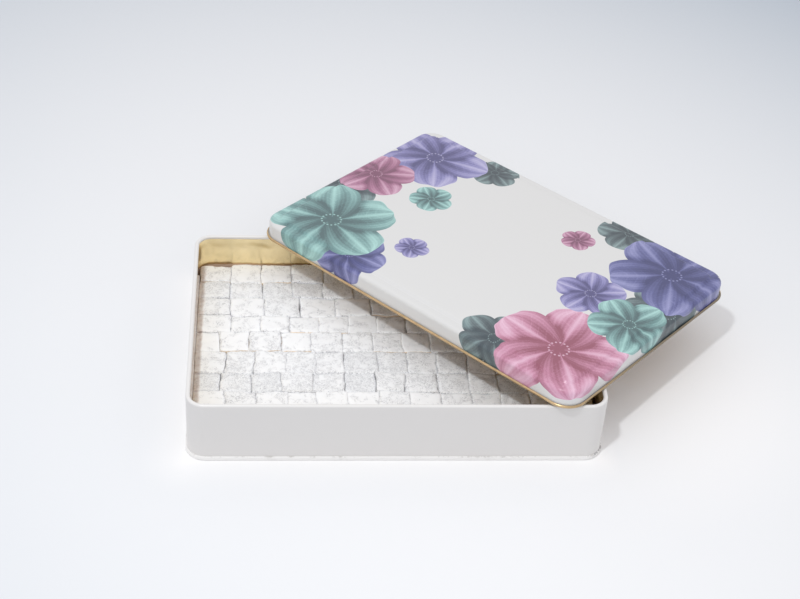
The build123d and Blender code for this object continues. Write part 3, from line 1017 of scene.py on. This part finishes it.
def lattice(corner, seed):
    """A number from -1 to 1 for each lattice corner, from its whole coordinates scrambled."""
    x, y, z = (corner[..., axis] * prime for axis, prime in enumerate(HASH_PRIMES))
    scrambled = x ^ y ^ z ^ seed * SEED_PRIME
    scrambled = (scrambled ^ (scrambled >> 13)) * MIX_PRIME & 0xFFFFFFFF
    scrambled = (scrambled ^ (scrambled >> 16)) & 0xFFFFFF
    return scrambled / 0x7FFFFF - 1


def soft_noise(points, cell, seed):
    """Smooth noise from -1 to 1: lattice numbers blended over each cell by 3t^2 - 2t^3."""
    place = points / cell
    corner = np.floor(place).astype(np.int64)
    part = place - corner
    part = part * part * (3 - 2 * part)
    total = np.zeros(points.shape[:-1])
    for offset in itertools.product((0, 1), repeat=3):
        weight = np.prod(np.where(np.array(offset) == 1, part, 1 - part), axis=-1)
        total += weight * lattice(corner + np.array(offset), seed)
    return total


def cube_boxes(node):
    """The lowest and highest corners of each cube in a node, told apart by the joints along X."""
    mesh = frame["nodes"][node].data
    places = np.empty(len(mesh.vertices) * 3)
    mesh.vertices.foreach_get("co", places)
    places = places.reshape(-1, 3)
    corners = np.empty(len(mesh.loops), dtype=np.int32)
    mesh.loops.foreach_get("vertex_index", corners)
    faces = places[corners.reshape(-1, 3)]
    low, high = faces[..., 0].min(axis=1), faces[..., 0].max(axis=1)
    order = np.argsort(low)
    reach = np.maximum.accumulate(high[order])
    breaks = np.flatnonzero(low[order][1:] > reach[:-1] + NARROWEST_JOINT) + 1
    return [
        (faces[chosen].reshape(-1, 3).min(axis=0), faces[chosen].reshape(-1, 3).max(axis=0))
        for chosen in np.split(order, breaks)
    ]


def box_faces(steps):
    """Six square grids over the cube from -1 to 1, with their lines closer together near the edges."""
    line = np.sin(np.linspace(-1, 1, steps + 1) * math.pi / 2)
    u, v = np.meshgrid(line, line, indexing="ij")
    one = np.ones_like(u)
    return [
        np.stack([u, v, one], axis=2), np.stack([v, u, -one], axis=2),
        np.stack([one, u, v], axis=2), np.stack([-one, v, u], axis=2),
        np.stack([v, one, u], axis=2), np.stack([u, -one, v], axis=2),
    ]


def wandered(points):
    """Points moved sideways by one field for all the cubes, so that the joints between them wander together.

    The field is the same at every height, which keeps a lifted cube clear of the ones that it stood against.
    """
    flat = points * np.array([1, 1, 0])
    for axis in (0, 1):
        for cell, share, seed in WANDER_WAVES:
            points[..., axis] += WANDER * share * soft_noise(flat, cell, seed + axis)
    return points


def inside_tin(points):
    """Points held inside the tin's inner outline: in a corner, those past its arc come back to it."""
    inset = SHEET + INSIDE_GAP
    radius = TIN_CORNER_RADIUS - inset
    limit = np.array([TIN_HALF_LENGTH - TIN_CORNER_RADIUS, TIN_HALF_WIDTH - TIN_CORNER_RADIUS])
    flat = points[..., :2]
    core = np.clip(flat, -limit, limit)
    away = flat - core
    length = np.linalg.norm(away, axis=-1, keepdims=True)
    points[..., :2] = core + away * np.minimum(1, radius / np.maximum(length, CLOSE))
    return points


def sugared_cube(low, high, reach, dice, amber):
    """A hand-cut cube: a box with shifted corners, rounded edges, lumps and sugar grains.

    A point of the box is drawn in by the edge radius and pushed out again by it, which rounds the edges. The
    radius wanders, the corner shifts are blended over the box, and lumps and grains, noises of three sizes,
    move the surface along its normal. The top falls off towards its edges by the sixth power of the way
    there. The sides stop where they press on the next cubes, at a reach beyond the box of the frame.

    Returns the grids, how deep each point lies below the powder, and its share of the way from the edge
    band's inner line out to the edge. The depth is the one below the middle of the top, and an amber cube,
    thinly powdered at its front, has more of it there.
    """
    limit_low, limit_high = low[:2] - reach, high[:2] + reach
    low = low - np.append(dice.uniform(*SIDE_GROWTH, 2), 0)
    high = high + np.append(dice.uniform(*SIDE_GROWTH, 2), TOP_GROWTH)
    centre, half = (low + high) / 2, (high - low) / 2
    shifts = dice.uniform(*CORNER_SPREAD, (2, 2, 2, 3)) * CORNER_SHIFT
    seed = int(dice.integers(1, 10000))
    grids, depths, edges = [], [], []
    for face in box_faces(FACE_STEPS):
        place = face * half
        inward = (half - np.abs(place))[..., :2].min(axis=-1)
        edges.append(np.clip(1 - inward / EDGE_BAND, 0, 1))
        shows = amber * (AMBER_SHOWS + AMBER_FRONT * np.clip(1 - (place + half)[..., 1] / EDGE_BAND, 0, 1))
        wander = (soft_noise(place, RADIUS_CELL, seed + 3)[..., None] + 1) / 2
        radius = EDGE_RADIUS[0] + (EDGE_RADIUS[1] - EDGE_RADIUS[0]) * wander
        core = np.clip(place, -half + radius, half - radius)
        outward = place - core
        outward /= np.maximum(np.linalg.norm(outward, axis=-1, keepdims=True), CLOSE)
        place = core + outward * radius
        share = (face + 1) / 2
        for corner in itertools.product((0, 1), repeat=3):
            weight = np.prod(np.where(np.array(corner) == 1, share, 1 - share), axis=-1, keepdims=True)
            sign = np.array(corner) * 2 - 1
            place = place + weight * sign * shifts[corner]
        lumps = soft_noise(place, LUMP_CELLS[0], seed) + 0.5 * soft_noise(place, LUMP_CELLS[1], seed + 1)
        grain = soft_noise(place, GRAIN_CELL, seed + 2)
        rise = LUMP_HEIGHT * (lumps - 0.5) + GRAIN_HEIGHT * grain
        place = centre + place + outward * rise[..., None]
        fall = 1 - (1 - face[..., 0] ** 6) * (1 - face[..., 1] ** 6)
        place[..., 2] -= PILLOW_FALL * fall * share[..., 2]
        place[..., :2] = np.clip(place[..., :2], limit_low, limit_high)
        place = inside_tin(wandered(place))
        place[..., 0] = np.maximum(place[..., 0], LEFT_LIMIT)
        grids.append(place)
        depths.append(high[2] - CORNER_SHIFT[2] / 2 - place[..., 2] + shows)
    return grids, np.ravel(depths), np.ravel(edges)


def sweets():
    """One piece for each row and each end cube, with each cube's gel colour and how bare of powder it is."""
    dice = np.random.default_rng(SUGAR_SEED)
    names = sorted(name for name in frame["nodes"] if name.startswith("delight_row"))
    bodies = {node: body for body, nodes in frame["record"]["behaviour"]["bodies"].items() for node in nodes}
    for node in names:
        is_end = node.endswith("end_cube")
        row = 9 - int(node.split("_")[2])
        grids, depths, edges, gel, bare, rim_shadow = [], [], [], [], [], []
        for number, (low, high) in enumerate(cube_boxes(node)):
            amber = (0 if is_end else number + 1) in AMBER_CUBES[row]
            cube, depth, edge = sugared_cube(low, high, END_REACH if is_end else REACH, dice, amber)
            colour = AMBER_GEL if amber else PINK_GEL if dice.random() < PINK_SHARE else GREY_GEL
            grids += [(grid, False, 0) for grid in cube]
            depths.append(depth)
            edges.append(edge)
            gel.append(np.tile(np.append(colour * dice.uniform(*GEL_SPREAD), 1), (len(depth), 1)))
            bareness = ROW_BARENESS[row] + dice.uniform(-BARENESS_SPREAD, BARENESS_SPREAD)
            bare.append(np.full(len(depth), np.clip(bareness, 0, 1)))
            # the painted shadow of the left rim: full near the wall, gone a little further out
            from_wall = np.concatenate([grid[..., 0].ravel() for grid in cube]) + TIN_HALF_LENGTH
            rim_shadow.append(np.interp(from_wall, RIM_SHADOW_BAND, (1, 0)))
        piece(
            node.replace("delight", "sugared"), grids,
            [SUGARED], bodies[node], [node], smooth_angle=180,
            attributes={
                "gel_colour": ("FLOAT_COLOR", np.concatenate(gel)),
                "bareness": ("FLOAT", np.concatenate(bare)),
                "depth": ("FLOAT", np.concatenate(depths)),
                "edge": ("FLOAT", np.concatenate(edges)),
                "rim_shadow": ("FLOAT", np.concatenate(rim_shadow)),
            },
        )


sweets()


# ---------------------------------------- the loose sugar at the left wall
DRIFT_OFF_WALL = 0.05 * MM
DRIFT_OFF_CUBES = 0.1 * MM
DRIFT_BELOW_TOP = 0.9 * MM
DRIFT_HALF_HEIGHT = 3.0 * MM
DRIFT_TAPER = 0.02
DRIFT_CREST = 0.5 * MM
DRIFT_CELL = 5 * MM
# how much of the left rim's painted shadow the drift has
DRIFT_RIM_SHADOW = 0.8
DRIFT_SEED = 71


def sugar_drift():
    """Loose sugar packed in the gap between the left wall and the end cubes, darkened by the left rim's
    painted shadow.

    Its section is a superellipse of power 4 with axes across and up, and its crest wanders by a noise of y.
    The section shrinks to a point over the last millimetres at each end.
    """
    left = -TIN_HALF_LENGTH + SHEET + DRIFT_OFF_WALL
    right = LEFT_LIMIT - DRIFT_OFF_CUBES
    reach = TIN_HALF_WIDTH - TIN_CORNER_RADIUS
    along = np.linspace(-1, 1, 241)
    angle = np.linspace(0, math.tau, 33)[:-1]
    across = np.sign(np.cos(angle)) * np.abs(np.cos(angle)) ** 0.5
    up = np.sign(np.sin(angle)) * np.abs(np.sin(angle)) ** 0.5
    taper = np.sqrt(np.clip((1 - np.abs(along)) / DRIFT_TAPER, 0, 1))[:, None]
    y = along * reach
    crest = soft_noise(np.stack([np.zeros_like(y), y, y], axis=1), DRIFT_CELL, DRIFT_SEED)[:, None]
    x = (left + right) / 2 + (right - left) / 2 * across * taper
    middle = SWEETS_TOP - DRIFT_BELOW_TOP - DRIFT_HALF_HEIGHT
    z = middle + (DRIFT_HALF_HEIGHT + DRIFT_CREST * crest) * up * taper
    grid = np.stack([x, np.broadcast_to(y[:, None], x.shape), z], axis=2)
    return piece(
        "sugar_drift", [(grid, True, 0)], [SUGARED], "tin",
        attributes={"rim_shadow": ("FLOAT", np.full(grid.shape[:2], DRIFT_RIM_SHADOW))},
    )


sugar_drift()


# ---------------------------------------- floor, light and camera
FLOOR_HALF_WIDTH = 6.0
FLOOR_PEAK = (0.067, 0.008, 0.0)
FLOOR_TURN = math.radians(31.1)
FLOOR_REACH = (1.148, 1.478, 1.0)
FLOOR_FALL = 0.33
FLOOR_NEAR = (0.853, 0.866, 0.889, 1)
FLOOR_FAR = (0.505, 0.562, 0.634, 1)
FLOOR_PAINTED_LIGHT = (0.965, 0.96, 0.965, 1)
FLOOR_DUST = (0.8, 0.8, 0.8, 1)
FLOOR_DUST_SHARE = 0.04
GLOW_REACH = 38 * MM
GLOW_SHARE = 0.92
LID_GLOW_CENTRE = (0.2, -0.03, 0.0)
LID_GLOW_REACH = 0.15
LID_GLOW_SHARE = 0.75
LAMP_PLACE = Vector((-0.296, -0.493, 1.188))
LAMP_TARGET = Vector((0.04, 0.02, 0.03))
LAMP_SIZE = 0.08
LAMP_POWER = 4.8
LAMP_COLOUR = (0.95, 0.985, 1.0)
SKY_COLOUR = (1.0, 0.98, 0.98, 1)
SKY_STRENGTH = 0.87
CAMERA_BEARING = math.radians(5.8935)
CAMERA_HEIGHT = math.radians(38.0373)
CAMERA_ROLL = math.radians(4.0422)
CAMERA_TARGET = Vector((13.0 * MM, 79.2 * MM, 0))
CAMERA_DISTANCE = 1242.9 * MM
CAMERA_LENS = 74.025
CAMERA_FILM = 36.0


def floor():
    """A wide pale floor, which isn't part of the object, with painted light: brighter near the tin and beside
    it.
    """
    reach = FLOOR_HALF_WIDTH
    corners = [(-reach, -reach, 0), (reach, -reach, 0), (reach, reach, 0), (-reach, reach, 0)]
    mesh = bpy.data.meshes.new("floor")
    mesh.from_pydata(corners, [], [(0, 1, 2, 3)])
    material, tree, shader = new_material("pale_floor", Roughness=0.85, Specular_IOR_Level=0.1)
    place = object_place(tree)
    # painted light: the floor's tone is highest near the tin and falls off as the square of the way from
    # there, more along one axis
    fall = tree.nodes.new("ShaderNodeMapping")
    fall.vector_type = "TEXTURE"
    for value, label in ((FLOOR_PEAK, "Location"), ((0, 0, FLOOR_TURN), "Rotation"), (FLOOR_REACH, "Scale")):
        fall.inputs[label].default_value = value
    join(tree, place, fall.inputs["Vector"])
    tone = calc(tree, "POWER", vector_calc(tree, "LENGTH", fall.outputs[0]), 2.0)
    tone = span(tree, tone, 0.0, FLOOR_FALL)
    colour = mixed(tree, tone, FLOOR_NEAR, FLOOR_FAR)
    # painted light: close to the tin's outline, and round a point beside the tin's right end under the lid,
    # the floor is painted as bright as in the open
    corner = (TIN_HALF_LENGTH, TIN_HALF_WIDTH, 0.0)
    past = vector_calc(tree, "SUBTRACT", vector_calc(tree, "ABSOLUTE", place), corner)
    away = vector_calc(tree, "LENGTH", vector_calc(tree, "MAXIMUM", past, (0.0, 0.0, 0.0)))
    glow = calc(tree, "POWER", span(tree, away, 0.0, GLOW_REACH, GLOW_SHARE, 0.0), 2.0)
    beside_lid = vector_calc(tree, "DISTANCE", place, LID_GLOW_CENTRE)
    lid_glow = span(tree, beside_lid, 0.0, LID_GLOW_REACH, LID_GLOW_SHARE, 0.0, smooth=True)
    colour = mixed(tree, larger(tree, glow, lid_glow), colour, FLOOR_PAINTED_LIGHT)
    dust = times(tree, noise(tree, place, 700, detail=3), FLOOR_DUST_SHARE)
    colour = mixed(tree, dust, colour, FLOOR_DUST)
    join(tree, colour, shader.inputs["Base Color"])
    mesh.materials.append(material)
    made = bpy.data.objects.new("floor", mesh)
    bpy.context.scene.collection.objects.link(made)


def key_lamp():
    """A small round area lamp, high up at the left front, aimed at the tin."""
    light = bpy.data.lights.new("key_lamp", "AREA")
    light.shape = "DISK"
    light.size = LAMP_SIZE
    light.energy = LAMP_POWER
    light.color = LAMP_COLOUR
    made = bpy.data.objects.new("key_lamp", light)
    made.location = LAMP_PLACE
    made.rotation_euler = (LAMP_TARGET - LAMP_PLACE).to_track_quat("-Z", "Y").to_euler()
    bpy.context.scene.collection.objects.link(made)


def sky():
    """A soft even fill from all round."""
    world = bpy.data.worlds.new("soft_fill")
    world.use_nodes = True
    background = world.node_tree.nodes["Background"]
    background.inputs["Color"].default_value = SKY_COLOUR
    background.inputs["Strength"].default_value = SKY_STRENGTH
    bpy.context.scene.world = world


def camera():
    """The photograph's camera: its bearing, height, roll and lens, aimed at a point on the floor."""
    level = Vector((math.sin(CAMERA_BEARING), math.cos(CAMERA_BEARING), 0))
    ahead = level * math.cos(CAMERA_HEIGHT) - Vector((0, 0, math.sin(CAMERA_HEIGHT)))
    right = Vector((math.cos(CAMERA_BEARING), -math.sin(CAMERA_BEARING), 0))
    up = right.cross(ahead)
    rolled_right = math.cos(CAMERA_ROLL) * right + math.sin(CAMERA_ROLL) * up
    rolled_up = math.cos(CAMERA_ROLL) * up - math.sin(CAMERA_ROLL) * right
    data = bpy.data.cameras.new("camera")
    data.sensor_width = CAMERA_FILM
    data.lens = CAMERA_LENS
    data.clip_start = 0.05
    made = bpy.data.objects.new("camera", data)
    turn = Matrix((rolled_right, rolled_up, -ahead)).transposed().to_4x4()
    made.matrix_world = Matrix.Translation(CAMERA_TARGET - CAMERA_DISTANCE * ahead) @ turn
    bpy.context.scene.collection.objects.link(made)
    bpy.context.scene.camera = made


floor()
key_lamp()
sky()
camera()
bpy.context.scene.view_settings.view_transform = "Standard"
